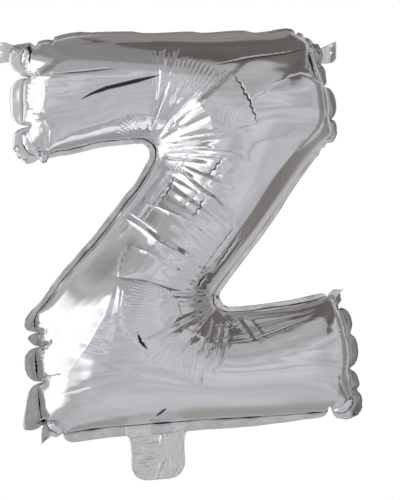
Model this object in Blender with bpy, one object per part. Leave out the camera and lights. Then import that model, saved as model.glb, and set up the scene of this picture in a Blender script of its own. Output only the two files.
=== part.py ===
"""Foil letter balloon, inflated: two welded films, the weld's margin, a filling neck and two hanging tabs.

Metres, +Z up, the letter's face towards -Y. The origin is the middle of the weld plane, where the air
carries it.
"""

import math

import bmesh
import bpy
import numpy as np
from mathutils import Vector
from mathutils.geometry import delaunay_2d_cdt

# The weld line of the inflated letter, clockwise seen from the front.
# Columns: corner, x, z, radius of the weld there, radius of the trimmed film there, and the
# width of the flat margin from this corner to the next.
CORNERS = (
    ("top arm, upper left", -0.147, 0.154, 0.016, 0.005, 0.0045),
    ("top edge, left", -0.085, 0.167, 0.120, 0.120, 0.0045),
    ("top edge, right", 0.085, 0.165, 0.120, 0.120, 0.0045),
    ("top arm, upper right", 0.126, 0.161, 0.014, 0.005, 0.0045),
    ("diagonal, upper right", 0.133, 0.081, 0.016, 0.010, 0.0040),
    ("diagonal, right of its middle", 0.081, 0.014, 0.120, 0.120, 0.0040),
    ("right notch, inner corner", 0.003, -0.087, 0.017, 0.013, 0.0040),
    ("bottom arm, upper right", 0.143, -0.060, 0.014, 0.005, 0.0045),
    ("bottom arm, lower right", 0.158, -0.171, 0.016, 0.005, 0.0045),
    ("bottom arm, lower left", -0.124, -0.190, 0.014, 0.005, 0.0075),
    ("diagonal, lower left", -0.134, -0.079, 0.014, 0.010, 0.0040),
    ("diagonal, left of its middle", -0.093, -0.020, 0.120, 0.120, 0.0040),
    ("left notch, inner corner", -0.006, 0.082, 0.017, 0.013, 0.0040),
    ("top arm, lower left", -0.144, 0.057, 0.014, 0.005, 0.0075),
)
# Edges count from the corner where they start, in the table above.
END_EDGE, BOTTOM_EDGE, RIGHT_EDGE = 13, 8, 3
# Where the weld folds over and the film gathers: the edge, how far along it from its start, or
# from its end where that is negative, and how far the weld is drawn in there.
GATHERS = (
    (0, 0.022, 0.003),
    (2, -0.020, 0.003),
    (3, 0.044, 0.002),
    (6, -0.022, 0.004),
    (7, 0.022, 0.003),
    (7, 0.080, 0.002),
    (8, 0.027, 0.003),
    (8, -0.023, 0.003),
    (9, 0.048, 0.005),
    (9, 0.077, 0.005),
    (12, -0.022, 0.003),
    (13, 0.030, 0.005),
    (13, 0.066, 0.005),
)
GATHER_HALF = 0.007  # from a gather's middle to where the weld runs straight again
GATHER_CLEAR = 0.009  # the outline's own points stay this far from a gather's middle
GATHER_FORM = ((-1.0, 0.0), (-0.45, 0.45), (0.0, 1.0), (0.45, 0.45), (1.0, 0.0))  # along, and how far in

ROUND_HEIGHT = 0.050  # where a round tube's film would stand this high,
REAL_HEIGHT = 0.041  # this one's does,
HEIGHT_POWER = 1.2  # and it swells more the wider the letter is
NOTCHES = (6, 12)  # the corners where the weld bunches the film and holds it down,
NOTCH_PULL = 0.55  # by this share at the weld,
NOTCH_REACH = 0.028  # and less with distance from it
FILM_WALL = 0.0016  # thickness that stands in for a film of 0.04 mm
MARGIN_THICK = 0.0010  # the two films fused
GAP = 0.0003  # between faces that touch
FRONT, BACK = -1, 1

NECK_WIDTH = 0.047
NECK_LENGTH = 0.045
NECK_ALONG = 0.184  # from the lower right corner to the neck's middle
NECK_RADIUS = 0.014
NECK_PLY = 0.0006
VALVE_WIDTH = 0.026
VALVE_THICK = 0.0004
VALVE_SHORT = 0.004  # how far the valve stops inside the neck's mouth

TAB_REACH = 0.011
TAB_HEIGHT = 0.019
TAB_FROM_CORNER = 0.005
TAB_RADIUS = 0.003
TAB_HOLE_RADIUS = 0.002

WELD_PITCH = 0.011  # spacing of the points along the weld
GRID_PITCH = 0.0145  # spacing of the points inside it
RING_TILTS = (22, 46, 70)  # degrees round an arm's section, from the weld plane
ARM_HALF_WIDTH = 0.044
ARC_STEP = math.radians(30)

SILVER = (0.74, 0.74, 0.76)
DULL_SILVER = (0.60, 0.60, 0.62)
CLEAR_FILM = (0.72, 0.71, 0.66)


def clear_scene():
    for obj in list(bpy.data.objects):
        bpy.data.objects.remove(obj)


def foil(name, colour, roughness, metallic):
    """A Principled material of one film."""
    material = bpy.data.materials.new(name)
    material.use_nodes = True
    shader = material.node_tree.nodes["Principled BSDF"]
    shader.inputs["Base Color"].default_value = (*colour, 1.0)
    shader.inputs["Roughness"].default_value = roughness
    shader.inputs["Metallic"].default_value = metallic
    return material


# Outlines in the weld plane, as (x, z) vectors, clockwise.


def weld_corners():
    return [Vector(row[1:3]) for row in CORNERS]


def outward(p, q):
    """The unit normal that points out of a clockwise outline along its edge from p to q."""
    along = (q - p).normalized()
    return Vector((-along.y, along.x))


def trim_corners():
    """The corners of the trimmed film, each edge its margin's width outside the weld."""
    corners = weld_corners()
    widths = [row[5] for row in CORNERS]
    moved = []
    for i, corner in enumerate(corners):
        before = outward(corners[i - 1], corner)
        after = outward(corner, corners[(i + 1) % len(corners)])
        turn = before.dot(after)
        if turn > 0.98:
            moved.append(corner + (before + after) * ((widths[i - 1] + widths[i]) / 2 / (1 + turn)))
        else:
            first = (widths[i - 1] - turn * widths[i]) / (1 - turn * turn)
            second = (widths[i] - turn * widths[i - 1]) / (1 - turn * turn)
            moved.append(corner + before * first + after * second)
    return moved


def rounded(corners, radii, pitch=None):
    """The points of a closed outline, each corner turned by an arc, and its straights split by the pitch."""
    points = []
    for i, corner in enumerate(corners):
        back = (corners[i - 1] - corner).normalized()
        ahead = (corners[(i + 1) % len(corners)] - corner).normalized()
        half = back.angle(ahead) / 2
        centre = corner + (back + ahead).normalized() * (radii[i] / math.sin(half))
        start = corner + back * (radii[i] / math.tan(half)) - centre
        turn = math.copysign(math.pi - 2 * half, back.x * ahead.y - back.y * ahead.x)
        steps = max(2, math.ceil(abs(turn) / ARC_STEP))
        for k in range(steps + 1):
            angle = -turn * k / steps
            cos, sin = math.cos(angle), math.sin(angle)
            points.append(centre + Vector((start.x * cos - start.y * sin, start.x * sin + start.y * cos)))
    if pitch is None:
        return points
    split = []
    for p, q in zip(points, points[1:] + points[:1]):
        parts = max(1, math.ceil((q - p).length / pitch))
        split += [p.lerp(q, k / parts) for k in range(parts)]
    return split


def gathered(outline, on_trim):
    """The weld's outline, or the trimmed one, with each gather drawn in, where the margin is half as wide."""
    corners = weld_corners()
    line = list(outline)
    for edge, distance, depth in GATHERS:
        start, end = corners[edge], corners[(edge + 1) % len(corners)]
        along, out = (end - start).normalized(), outward(start, end)
        width = CORNERS[edge][5] if on_trim else 0
        spot = (start if distance > 0 else end) + along * distance + out * width
        drawn = depth + width / 2
        line = [p for p in line if (p - spot).length > GATHER_CLEAR]
        # The gather goes in where passing by it lengthens the line least.
        detours = []
        for p, q in zip(line, line[1:] + line[:1]):
            detours.append((p - spot).length + (q - spot).length - (p - q).length)
        at = detours.index(min(detours)) + 1
        fold = [spot + along * GATHER_HALF * step - out * drawn * share for step, share in GATHER_FORM]
        line[at:at] = fold
    return line


def weld_line():
    return gathered(rounded(weld_corners(), [row[3] for row in CORNERS], WELD_PITCH), False)


def trim_line():
    return gathered(rounded(trim_corners(), [row[4] for row in CORNERS]), True)


# The inflated films.


def distance_to(outline, points):
    """Each point's distance to a closed outline."""
    a = np.array(outline)
    b = np.roll(a, -1, axis=0)
    p = np.array(points)[:, None, :]
    edge = b - a
    share = np.clip(((p - a) * edge).sum(2) / (edge * edge).sum(1), 0, 1)
    return np.linalg.norm(p - a - share[:, :, None] * edge, axis=2).min(axis=1)


def inside(outline, points):
    """Whether each point lies inside a closed outline, by the edges that a ray crosses."""
    a = np.array(outline)
    b = np.roll(a, -1, axis=0)
    x, z = np.array(points).T[:, :, None]
    spans = (a[:, 1] > z) != (b[:, 1] > z)
    with np.errstate(divide="ignore", invalid="ignore"):
        crossing = a[:, 0] + (z - a[:, 1]) * (b[:, 0] - a[:, 0]) / (b[:, 1] - a[:, 1])
    return (spans & (x < crossing)).sum(axis=1) % 2 == 1


def ring_points(outline, depth):
    """Points this far inside the outline, none nearer to it than that."""
    found = []
    for i, p in enumerate(outline):
        n = outward(outline[i - 1], outline[(i + 1) % len(outline)])
        candidate = p - n * depth
        if not found or min((candidate - q).length for q in found) > 0.45 * WELD_PITCH:
            found.append(candidate)
    far = distance_to(outline, found) > 0.96 * depth
    within = inside(outline, found)
    return [p for p, keep in zip(found, far & within) if keep]


def inner_points(outline):
    """The points inside the weld: rings that follow it where the film is steep, then an even grid."""
    depths = [ARM_HALF_WIDTH * (1 - math.cos(math.radians(tilt))) for tilt in RING_TILTS]
    points = [p for depth in depths for p in ring_points(outline, depth)]
    low = Vector(map(min, zip(*outline)))
    high = Vector(map(max, zip(*outline)))
    rise = GRID_PITCH * math.sqrt(3) / 2
    grid = [
        Vector((low.x + (column + 0.5 * (row % 2)) * GRID_PITCH, low.y + row * rise))
        for row in range(int((high.y - low.y) / rise) + 1)
        for column in range(int((high.x - low.x) / GRID_PITCH) + 1)
    ]
    far = distance_to(outline, grid) > depths[-1] + 0.55 * GRID_PITCH
    return points + [p for p, keep in zip(grid, far & inside(outline, grid)) if keep]


def inflated_heights(points, triangles, rim_count):
    """How far the film stands off the weld plane.

    With lap(u) = -1 inside and u = 0 on the weld, sqrt(2 u) is a half circle across a long arm, and rounds
    its ends.
    """
    flat = np.array(points)
    tri = np.array(triangles)
    size = len(flat)
    stiffness = np.zeros((size, size))
    load = np.zeros(size)
    for k in range(3):
        i, j, opposite = tri[:, k], tri[:, (k + 1) % 3], tri[:, (k + 2) % 3]
        u, v = flat[i] - flat[opposite], flat[j] - flat[opposite]
        cross = np.abs(u[:, 0] * v[:, 1] - u[:, 1] * v[:, 0])
        weight = 0.5 * (u * v).sum(1) / cross
        for a, b, sign in ((i, j, -1), (j, i, -1), (i, i, 1), (j, j, 1)):
            np.add.at(stiffness, (a, b), sign * weight)
        np.add.at(load, i, cross / 6)
    free = slice(rim_count, None)
    swell = np.zeros(size)
    swell[free] = np.linalg.solve(stiffness[free, free], load[free])
    height = REAL_HEIGHT * (np.sqrt(2 * swell.clip(0)) / ROUND_HEIGHT) ** HEIGHT_POWER
    for notch in NOTCHES:
        corner = CORNERS[notch][1:3]
        tip = flat[np.argmin(np.linalg.norm(flat[:rim_count] - corner, axis=1))]
        far = np.linalg.norm(flat - tip, axis=1)
        height *= 1 - NOTCH_PULL * np.exp(-((far / NOTCH_REACH) ** 2))
    return height


def film(name, side, material):
    """One inflated film: a dome over the weld line, open towards the other film, its rim on the margin."""
    outline = weld_line()
    points = outline + inner_points(outline)
    rim = range(len(outline))
    flat, _, faces, *_ = delaunay_2d_cdt(points, [], [list(rim)], 1, 1e-6)
    if len(flat) != len(points):
        raise ValueError("the outline crosses itself")
    height = inflated_heights(flat, faces, len(outline))
    rim_y = MARGIN_THICK / 2 + GAP
    mesh = bmesh.new()
    outer = [mesh.verts.new((p.x, side * (rim_y + h), p.y)) for p, h in zip(flat, height)]
    for face in faces:
        mesh.faces.new([outer[i] for i in face])
    mesh.normal_update()
    if sum(face.normal.y for face in mesh.faces) * side < 0:
        bmesh.ops.reverse_faces(mesh, faces=mesh.faces[:])
    mesh.normal_update()
    inner = []
    for i, vert in enumerate(outer):
        normal = vert.normal.copy()
        if i < len(outline):
            normal.y = 0
        inner.append(vert.co - normal.normalized() * FILM_WALL)
    skin = mesh.faces[:]
    inner = [mesh.verts.new(co) for co in inner]
    partner = dict(zip(outer, inner))
    for face in skin:
        mesh.faces.new([partner[v] for v in reversed(face.verts)])
    for edge in [e for e in mesh.edges if e.is_boundary and e.verts[0] in partner]:
        a, b = edge.link_loops[0].vert, edge.link_loops[0].link_loop_next.vert
        mesh.faces.new((b, a, partner[a], partner[b]))
    return finished(name, mesh, material)


def finished(name, mesh, material):
    """The object of a closed bmesh, shaded smooth apart from its sharp edges."""
    bmesh.ops.recalc_face_normals(mesh, faces=mesh.faces[:])
    data = bpy.data.meshes.new(name)
    mesh.to_mesh(data)
    mesh.free()
    data.shade_smooth()
    data.set_sharp_from_angle(angle=math.radians(40))
    data.materials.append(material)
    obj = bpy.data.objects.new(name, data)
    bpy.context.scene.collection.objects.link(obj)
    return obj


# The flat pieces: sheets that stand in the weld plane.


def sheet(name, loops, thickness, y, material):
    """A flat sheet of this thickness with its middle at y: first its outline, then the loops of its holes."""
    curve = bpy.data.curves.new(name, "CURVE")
    curve.dimensions = "2D"
    curve.fill_mode = "BOTH"
    curve.extrude = thickness / 2
    for loop in loops:
        spline = curve.splines.new("POLY")
        spline.points.add(len(loop) - 1)
        for point, p in zip(spline.points, loop):
            point.co = (p.x, p.y, 0, 1)
        spline.use_cyclic_u = True
    curve.materials.append(material)
    obj = bpy.data.objects.new(name, curve)
    obj.rotation_euler.x = math.pi / 2
    obj.location.y = y
    bpy.context.scene.collection.objects.link(obj)
    return obj


def seam_margin(material):
    """The margin where both films are fused: it reaches under the domes' rims, which rest on it."""
    rim = weld_line()
    under_rim = []
    for i, p in enumerate(rim):
        under_rim.append(p - outward(rim[i - 1], rim[(i + 1) % len(rim)]) * FILM_WALL)
    return sheet("seam_margin", [trim_line(), under_rim], MARGIN_THICK, 0, material)


def on_edge(edge):
    """A function that places (along, out) distances, measured from the start of one trimmed edge."""
    corners = trim_corners()
    start, end = corners[edge], corners[(edge + 1) % len(corners)]
    along, out = (end - start).normalized(), outward(start, end)
    return lambda distance, reach: start + along * distance + out * reach


def neck_ply(name, side, material):
    """One film's ply of the filling neck."""
    place = on_edge(BOTTOM_EDGE)
    left, right = NECK_ALONG + NECK_WIDTH / 2, NECK_ALONG - NECK_WIDTH / 2
    corners = [
        place(right, GAP), place(right, NECK_LENGTH), place(left, NECK_LENGTH), place(left, GAP)
    ]
    loop = rounded(corners, [0.001, NECK_RADIUS, NECK_RADIUS, 0.001])
    y = side * (VALVE_THICK / 2 + GAP + NECK_PLY / 2)
    return sheet(name, [loop], NECK_PLY, y, material)


def valve_sleeve(material):
    """The flat sleeve of clear film between the neck's plies, which lets air in and not out."""
    place = on_edge(BOTTOM_EDGE)
    left, right = NECK_ALONG + VALVE_WIDTH / 2, NECK_ALONG - VALVE_WIDTH / 2
    end = NECK_LENGTH - VALVE_SHORT
    corners = [place(right, GAP), place(right, end), place(left, end), place(left, GAP)]
    return sheet("valve_sleeve", [rounded(corners, [0.001] * 4)], VALVE_THICK, 0, material)


def hanging_tab(name, edge, low, material):
    """A tab of fused film with the hole for a ribbon, on an end edge from this distance along it."""
    place = on_edge(edge)
    high = low + TAB_HEIGHT
    corners = [place(low, GAP), place(low, TAB_REACH), place(high, TAB_REACH), place(high, GAP)]
    loop = rounded(corners, [0.0005, TAB_RADIUS, TAB_RADIUS, 0.0005])
    middle = place(low + TAB_HEIGHT / 2, TAB_REACH / 2)
    turns = [2 * math.pi * k / 16 for k in range(16)]
    hole = [middle + Vector((math.cos(t), math.sin(t))) * TAB_HOLE_RADIUS for t in turns]
    return sheet(name, [loop, hole], MARGIN_THICK, 0, material)


def balloon():
    clear_scene()
    silver = foil("silver_film", SILVER, 0.10, 1.0)
    fused = foil("fused_film", DULL_SILVER, 0.22, 1.0)
    clear = foil("valve_film", CLEAR_FILM, 0.25, 0.0)
    film("front_film", FRONT, silver)
    film("back_film", BACK, silver)
    seam_margin(fused)
    neck_ply("neck_front_ply", FRONT, silver)
    neck_ply("neck_back_ply", BACK, silver)
    valve_sleeve(clear)
    corners = trim_corners()
    left_end = (corners[0] - corners[END_EDGE]).length
    hanging_tab("hanging_tab_left", END_EDGE, left_end - TAB_FROM_CORNER - TAB_HEIGHT, fused)
    hanging_tab("hanging_tab_right", RIGHT_EDGE, TAB_FROM_CORNER, fused)


balloon()
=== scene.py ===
"""A foil letter balloon, filled and hanging in the air.

Metres, +Z up, the letter's face towards -Y, the origin in the middle of the weld's plane.
The letter is laid out flat, welded, filled until it is taut, and then creased as it was packed.
"""

import math

import bmesh
import bpy
import numpy as np
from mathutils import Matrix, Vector, noise
from mathutils.geometry import delaunay_2d_cdt


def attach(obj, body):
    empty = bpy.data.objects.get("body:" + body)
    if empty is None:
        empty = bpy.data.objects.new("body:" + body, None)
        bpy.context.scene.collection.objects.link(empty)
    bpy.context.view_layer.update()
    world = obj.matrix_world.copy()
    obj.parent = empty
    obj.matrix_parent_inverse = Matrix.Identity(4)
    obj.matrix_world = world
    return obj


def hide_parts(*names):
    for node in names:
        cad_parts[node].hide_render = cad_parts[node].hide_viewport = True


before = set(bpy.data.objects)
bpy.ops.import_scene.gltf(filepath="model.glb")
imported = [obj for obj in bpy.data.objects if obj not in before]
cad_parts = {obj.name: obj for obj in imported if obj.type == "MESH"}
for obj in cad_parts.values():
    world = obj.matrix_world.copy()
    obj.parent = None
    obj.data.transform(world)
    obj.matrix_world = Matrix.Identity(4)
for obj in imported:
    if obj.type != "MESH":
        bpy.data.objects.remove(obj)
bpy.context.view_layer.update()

# The pattern. Two sheets of silvered film lie on each other, are welded along this line and
# trimmed a little outside it. Flat, the letter is a fifth larger than it hangs, because the
# gas draws its edges in. Columns: the weld's corner x and z, its radius, the trimmed corner's
# radius, and how wide the margin outside the weld is from this corner to the next.
PATTERN = (
    (-0.152, 0.209, 0.022, 0.012, 0.0040),
    (-0.079, 0.216, 0.200, 0.200, 0.0040),
    (0.005, 0.206, 0.200, 0.200, 0.0040),
    (0.085, 0.194, 0.200, 0.200, 0.0040),
    (0.148, 0.179, 0.022, 0.012, 0.0125),
    (0.143, 0.080, 0.014, 0.010, 0.0035),
    (0.097, 0.007, 0.200, 0.200, 0.0045),
    (0.041, -0.078, 0.009, 0.005, 0.0045),
    (0.174, -0.083, 0.018, 0.012, 0.0135),
    (0.164, -0.217, 0.020, 0.016, 0.0090),
    (-0.135, -0.217, 0.024, 0.014, 0.0110),
    (-0.152, -0.079, 0.012, 0.008, 0.0050),
    (-0.112, -0.011, 0.200, 0.200, 0.0050),
    (-0.046, 0.076, 0.009, 0.004, 0.0045),
    (-0.173, 0.097, 0.022, 0.014, 0.0110),
)
# Where those corners hang once the balloon is full.
HUNG = (
    (-0.142, 0.151),
    (-0.085, 0.1650),
    (0.000, 0.1670),
    (0.080, 0.1690),
    (0.114, 0.156),
    (0.1325, 0.080),
    (0.081, 0.013),
    (0.025, -0.0725),
    (0.1335, -0.0675),
    (0.1485, -0.1665),
    (-0.120, -0.180),
    (-0.1315, -0.078),
    (-0.0830, -0.0205),
    (-0.028, 0.0675),
    (-0.139, 0.061),
)
# Places on the weld between two corners: where they lie on the pattern, and where they hang.
BETWEEN = (
    ((-0.133, 0.211), (-0.133, 0.156)),
    ((-0.116, 0.212), (-0.120, 0.157)),
    ((0.044, 0.200), (0.038, 0.1680)),
    ((0.101, 0.190), (0.096, 0.1700)),
    ((0.147, 0.155), (0.119, 0.137)),
    ((0.146, 0.130), (0.127, 0.119)),
    ((0.144, 0.105), (0.1305, 0.097)),
    ((0.141, -0.082), (0.1215, -0.067)),
    ((0.169, -0.150), (0.148, -0.114)),
    ((0.166, -0.184), (0.149, -0.143)),
    ((0.089, -0.217), (0.091, -0.1705)),
    ((0.014, -0.217), (0.012, -0.1735)),
    ((-0.023, -0.217), (-0.027, -0.1760)),
    ((-0.061, -0.217), (-0.0655, -0.1785)),
    ((-0.139, -0.182), (-0.129, -0.160)),
    ((-0.148, -0.113), (-0.132, -0.105)),
    ((-0.142, -0.062), (-0.120, -0.0655)),
    ((-0.132, -0.045), (-0.1115, -0.053)),
    ((-0.079, 0.033), (-0.0500, 0.0215)),
)
# Where the weld folds over on itself and the film gathers: the side of the letter, counted as
# above, how far along it, from its start, or from its end where that is negative, and how
# much of the weld's length the fold takes up there.
GATHERS = (
    (0, 0.018, 0.50),
    (3, -0.042, 0.50),
    (3, -0.022, 0.90),
    (4, 0.045, 0.50),
    (4, 0.079, 0.45),
    (7, -0.022, 0.30),
    (8, 0.018, 0.40),
    (8, 0.050, 0.25),
    (8, 0.085, 0.50),
    (9, 0.032, 0.90),
    (9, -0.022, 0.90),
    (10, 0.016, 0.90),
    (10, 0.061, 0.95),
    (10, 0.097, 0.95),
    (10, 0.117, 0.70),
    (13, -0.022, 0.90),
    (14, 0.033, 0.95),
    (14, 0.080, 0.95),
)
# How wide a gather is at the weld, how much wider it grows into the film, and how far in it fades.
GATHER_WIDTH = 0.004
GATHER_SPREAD = 0.25
GATHER_REACH = 0.020
# The coarse net's spacing, and how near to the weld its inner points may lie.
PITCH = 0.008
CLEAR_OF_WELD = 0.62 * PITCH
# Two sides of the outline that turn less than this cosine run on smoothly.
SMOOTH_TURN = 0.98


def outward(p, q):
    """The unit normal out of a clockwise outline along its side from p to q."""
    along = (q - p).normalized()
    return Vector((-along.y, along.x))


def trimmed(corners, widths):
    """The corners of the line that lies outside each side by that side's width."""
    moved = []
    for i, corner in enumerate(corners):
        before = outward(corners[i - 1], corner)
        after = outward(corner, corners[(i + 1) % len(corners)])
        turn = before.dot(after)
        if turn > SMOOTH_TURN:
            middle = (widths[i - 1] + widths[i]) / 2
            moved.append(corner + (before + after) * (middle / (1 + turn)))
        else:
            first = (widths[i - 1] - turn * widths[i]) / (1 - turn * turn)
            second = (widths[i] - turn * widths[i - 1]) / (1 - turn * turn)
            moved.append(corner + before * first + after * second)
    return moved


def rounded(corners, radii, pitch):
    """Points a pitch apart round a closed line, each corner turned by an arc."""
    points = []
    for i, corner in enumerate(corners):
        back = (corners[i - 1] - corner).normalized()
        ahead = (corners[(i + 1) % len(corners)] - corner).normalized()
        half = back.angle(ahead) / 2
        centre = corner + (back + ahead).normalized() * (radii[i] / math.sin(half))
        start = corner + back * (radii[i] / math.tan(half)) - centre
        turn = math.copysign(math.pi - 2 * half, back.x * ahead.y - back.y * ahead.x)
        steps = max(1, round(abs(turn) * radii[i] / pitch))
        for k in range(steps + 1):
            cos = math.cos(-turn * k / steps)
            sin = math.sin(-turn * k / steps)
            points.append(centre + Vector((start.x * cos - start.y * sin, start.x * sin + start.y * cos)))
    line = []
    for p, q in zip(points, points[1:] + points[:1]):
        parts = max(1, round((q - p).length / pitch))
        line += [p.lerp(q, k / parts) for k in range(parts)]
    return line


def to_line(line, points):
    """How far each point lies from a closed line."""
    a = np.array(line)
    edge = np.roll(a, -1, axis=0) - a
    p = np.array(points)[:, None, :]
    share = np.clip(((p - a) * edge).sum(2) / (edge * edge).sum(1), 0, 1)
    return np.linalg.norm(p - a - share[:, :, None] * edge, axis=2).min(axis=1)


def within(line, points):
    """Whether each point lies inside a closed line."""
    a = np.array(line)
    b = np.roll(a, -1, axis=0)
    x, z = np.array(points).T[:, :, None]
    spans = (a[:, 1] > z) != (b[:, 1] > z)
    with np.errstate(divide="ignore", invalid="ignore"):
        crossing = a[:, 0] + (z - a[:, 1]) * (b[:, 0] - a[:, 0]) / (b[:, 1] - a[:, 1])
    return (spans & (x < crossing)).sum(axis=1) % 2 == 1


def out_to(point, direction, line):
    """Where a ray from the point first meets a closed line."""
    nearest = None
    for a, b in zip(line, line[1:] + line[:1]):
        edge = b - a
        det = edge.x * direction.y - edge.y * direction.x
        if abs(det) < 1e-12:
            continue
        offset = a - point
        along = (edge.x * offset.y - edge.y * offset.x) / det
        share = (direction.x * offset.y - direction.y * offset.x) / det
        if along > 0 and -1e-9 <= share <= 1 + 1e-9 and (nearest is None or along < nearest):
            nearest = along
    return point + direction * nearest


def laid_out():
    """Both films flat over each other, sharing the weld's points, and the margin outside it.

    Gives the flat points, the triangles, which sheet each is of (0 front, 1 back, 2 margin)
    and how many points the weld has.
    """
    corners = [Vector(row[:2]) for row in PATTERN]
    weld = rounded(corners, [row[2] for row in PATTERN], PITCH)
    trim = rounded(trimmed(corners, [row[4] for row in PATTERN]), [row[3] for row in PATTERN], PITCH)
    n = len(weld)
    low = Vector(map(min, zip(*weld)))
    high = Vector(map(max, zip(*weld)))
    rise = PITCH * math.sqrt(3) / 2
    spots = [
        Vector((low.x + (column + 0.5 * (row % 2)) * PITCH, low.y + row * rise))
        for row in range(int((high.y - low.y) / rise) + 1)
        for column in range(int((high.x - low.x) / PITCH) + 1)
    ]
    kept = (to_line(weld, spots) > CLEAR_OF_WELD) & within(weld, spots)
    inner = [p for p, keep in zip(spots, kept) if keep]
    points, _, faces, *_ = delaunay_2d_cdt(weld + inner, [], [list(range(n))], 1, 1e-6)
    m = len(points)
    rim = [out_to(p, outward(weld[i - 1], weld[(i + 1) % n]), trim) for i, p in enumerate(weld)]
    flat = np.array([tuple(p) for p in [*points, *inner, *rim]])
    front = np.array(faces)
    a, b, c = (flat[front[:, k]] for k in range(3))
    turn = (b[:, 0] - a[:, 0]) * (c[:, 1] - a[:, 1]) - (b[:, 1] - a[:, 1]) * (c[:, 0] - a[:, 0])
    front[turn < 0] = front[turn < 0][:, ::-1]
    back = np.where(front < n, front, front + (m - n))[:, ::-1]
    first = 2 * m - n
    margin = []
    for i in range(n):
        j = (i + 1) % n
        margin += [(i, first + i, first + j), (i, first + j, j)]
    sheet = np.repeat([0, 1, 2], [len(front), len(back), len(margin)])
    return flat, np.vstack([front, back, np.array(margin)]), sheet, n


def sides_of(faces):
    """Every triangle's three sides as pairs of points, lower first."""
    return np.sort(np.vstack([faces[:, [0, 1]], faces[:, [1, 2]], faces[:, [2, 0]]]), axis=1)


def cut_in_four(flat, shape, faces, sheet):
    """Each triangle cut into four at the middles of its sides."""
    unique, which = np.unique(sides_of(faces), axis=0, return_inverse=True)
    ab, bc, ca = which.reshape(3, -1) + len(flat)
    a, b, c = faces.T
    flat = np.vstack([flat, flat[unique].mean(axis=1)])
    shape = np.vstack([shape, shape[unique].mean(axis=1)])
    cut = [np.stack(t, axis=1) for t in ((a, ab, ca), (ab, b, bc), (ca, bc, c), (ab, bc, ca))]
    return flat, shape, np.vstack(cut), np.tile(sheet, 4)


def on_side(side, distance):
    """A point of the weld line on the pattern, and the directions along it and into the letter."""
    p = np.array(PATTERN[side][:2])
    q = np.array(PATTERN[(side + 1) % len(PATTERN)][:2])
    along = (q - p) / np.linalg.norm(q - p)
    spot = p + along * distance if distance > 0 else q + along * distance
    return spot, along, np.array((along[1], -along[0]))


# The filling. The gas pushes both films outwards while each thread of the film keeps its cut
# length, so they swell until they are taut and pleat where the pattern has too much film.
# The letter is filled on a coarse net first and then on nets twice and four times as fine.
BEND_STIFF = 0.05
# How much of its flat width the margin keeps where it stands off the film, and how firmly.
STAND_OFF = 0.84
STAND_FIRM = 0.3
# How steeply the film starts to rise from the weld.
FIRST_SWELL = 0.3


def summed(points, values, count):
    """Each point's sum of the vectors that are given to it."""
    return np.stack([np.bincount(points, values[:, k], count) for k in range(3)], axis=1)


def apart(pairs, count):
    """The pairs in groups in which no point comes twice."""
    used = [0] * count
    group = np.empty(len(pairs), dtype=int)
    for k, (a, b) in enumerate(pairs.tolist()):
        taken = used[a] | used[b]
        g = 0
        while taken >> g & 1:
            g += 1
        used[a] |= 1 << g
        used[b] |= 1 << g
        group[k] = g
    return [np.flatnonzero(group == g) for g in range(group.max() + 1)]


def across_weld(faces, sheet, count):
    """For each side of a triangle on the weld, the margin's point and the film's point across it."""
    sides = sides_of(faces)
    key = (sides[:, 0] * count + sides[:, 1]).tolist()
    tip = np.concatenate([faces[:, 2], faces[:, 0], faces[:, 1]]).tolist()
    owner = np.tile(sheet, 3).tolist()
    outside = {k: t for k, t, o in zip(key, tip, owner) if o == 2}
    return np.array([(outside[k], t) for k, t, o in zip(key, tip, owner) if o < 2 and k in outside])


def gathered(rest, flat, edges):
    """The threads' lengths, shortened along the weld where the film gathers."""
    middle = flat[edges].mean(axis=1)
    thread = flat[edges[:, 1]] - flat[edges[:, 0]]
    for side, distance, share in GATHERS:
        spot, along, inwards = on_side(side, distance)
        s = (middle - spot) @ along
        d = (middle - spot) @ inwards
        width = GATHER_WIDTH + GATHER_SPREAD * np.maximum(d, 0)
        pull = share * np.exp(-((s / width) ** 2) - np.maximum(d, 0) / GATHER_REACH) * (d > -0.012)
        short = np.hypot(thread @ along * (1 - pull), thread @ inwards)
        rest = np.where(pull > 0.01, np.minimum(rest, short), rest)
    return rest


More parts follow.
